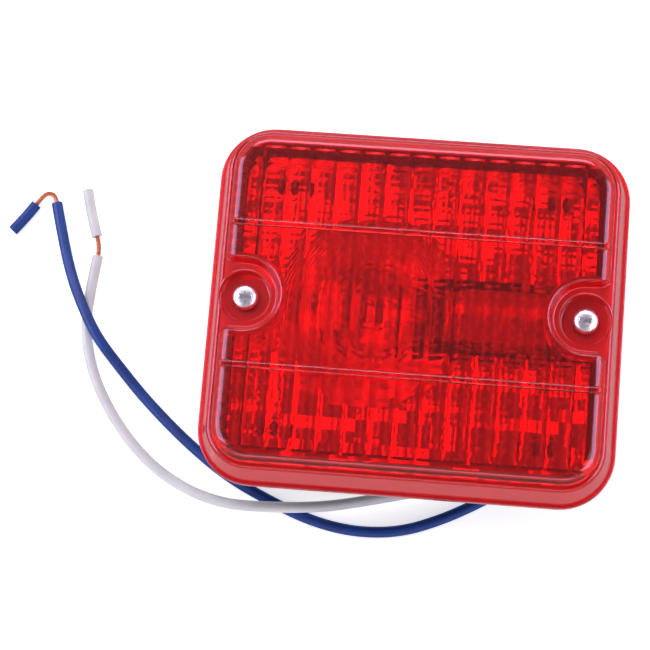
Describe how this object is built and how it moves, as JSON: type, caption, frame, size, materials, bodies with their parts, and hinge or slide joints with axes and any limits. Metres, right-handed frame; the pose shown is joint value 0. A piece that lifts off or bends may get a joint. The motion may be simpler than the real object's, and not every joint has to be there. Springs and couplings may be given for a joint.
{
  "type": "trailer rear lamp",
  "caption": "Surface-mounted trailer rear lamp: screwed-on red lens over a black base with a reflector, a bayonet bulb and two loose leads.",
  "frame": {"origin": "centre of the base's foot, in the plane the lamp is bolted against", "axes": "+Z out of the lens, +X to the right and +Y up as seen from behind the trailer"},
  "size_m": [0.1705, 0.1059, 0.0398],
  "materials": {
    "red_acrylic": "clear red moulded acrylic, polished",
    "black_plastic": "black moulded ABS, fine grain",
    "gasket_rubber": "black foam and moulded rubber",
    "mirrored_plastic": "vacuum-metallised plastic",
    "bulb_glass": "clear blown glass",
    "nickel_plated_brass": "nickel plated, drawn",
    "black_glass": "black fused insulator",
    "solder": "tin solder blob",
    "tungsten": "drawn wire",
    "zinc_plated_steel": "zinc plated sheet",
    "screw_steel": "bright zinc plated, cold formed",
    "phenolic_board": "brown phenolic board",
    "plain_brass": "stamped brass",
    "spring_steel": "drawn spring wire",
    "rivet_aluminium": "headed rivet",
    "tinned_brass": "tinned, stamped",
    "white_insulation": "white PVC insulation",
    "blue_insulation": "blue PVC insulation",
    "copper_strands": "bare twisted copper strands"
  },
  "bodies": {
    "base": {"base_housing": "black_plastic", "lens_gasket": "gasket_rubber", "captive_nuts": "zinc_plated_steel", "reflector": "mirrored_plastic", "holder_shell": "zinc_plated_steel", "contact_insulator": "phenolic_board", "contact_spring": "spring_steel", "holder_bracket": "zinc_plated_steel", "bracket_rivets": "rivet_aluminium", "earth_terminal": "tinned_brass", "feed_terminal": "plain_brass", "feed_receptacle": "tinned_brass", "wire_grommet": "gasket_rubber", "white_lead": "white_insulation", "blue_lead": "blue_insulation", "white_bared_copper": "copper_strands", "blue_bared_copper": "copper_strands", "white_insulation_slug": "white_insulation", "blue_insulation_slug": "blue_insulation", "white_lead_inside": "white_insulation", "blue_lead_inside": "blue_insulation"},
    "lens": {"lens": "red_acrylic"},
    "left_seal": {"left_screw_seal": "gasket_rubber"},
    "left_screw": {"left_lens_screw": "screw_steel"},
    "right_seal": {"right_screw_seal": "gasket_rubber"},
    "right_screw": {"right_lens_screw": "screw_steel"},
    "contact": {"contact_plunger": "plain_brass"},
    "bulb": {"bulb_glass": "bulb_glass", "bulb_cap": "nickel_plated_brass", "bayonet_pins": "nickel_plated_brass", "cap_insulator": "black_glass", "bulb_contact": "solder", "glass_stem": "bulb_glass", "filament": "tungsten", "filament_supports": "tungsten"}
  },
  "joints": [
    {"name": "lens_lift", "type": "slide", "parent": "base", "child": "lens", "axis": [0, 0, 1], "range_m": [0, 0.06]},
    {"name": "left_screw_out", "type": "slide", "parent": "lens", "child": "left_seal", "axis": [0, 0, 1], "range_m": [0, 0.0126]},
    {"name": "left_screw_turn", "type": "hinge", "parent": "left_seal", "child": "left_screw", "pos_m": [-0.0442, 0, 0.0324], "axis": [0, 0, 1], "range_deg": [0, 3480]},
    {"name": "right_screw_out", "type": "slide", "parent": "lens", "child": "right_seal", "axis": [0, 0, 1], "range_m": [0, 0.0126]},
    {"name": "right_screw_turn", "type": "hinge", "parent": "right_seal", "child": "right_screw", "pos_m": [0.0442, 0, 0.0324], "axis": [0, 0, 1], "range_deg": [0, 3480]},
    {"name": "contact_press", "type": "slide", "parent": "base", "child": "contact", "axis": [1, 0, 0], "range_m": [0, 0.0018], "stiffness_N_per_m": 2500, "springref_m": -0.003, "deforming": ["contact_spring"]},
    {"name": "bulb_turn", "type": "hinge", "parent": "contact", "child": "bulb", "pos_m": [0.01775, 0, 0.0224], "axis": [1, 0, 0], "range_deg": [-30, 0]}
  ],
  "couplings": [
    {"joint": "left_screw_out", "follows": "left_screw_turn", "m_per_rad": 0.0002069},
    {"joint": "right_screw_out", "follows": "right_screw_turn", "m_per_rad": 0.0002069},
    {"joint": "contact_press", "follows": "bulb_turn", "m_per_rad": -0.003437}
  ]
}
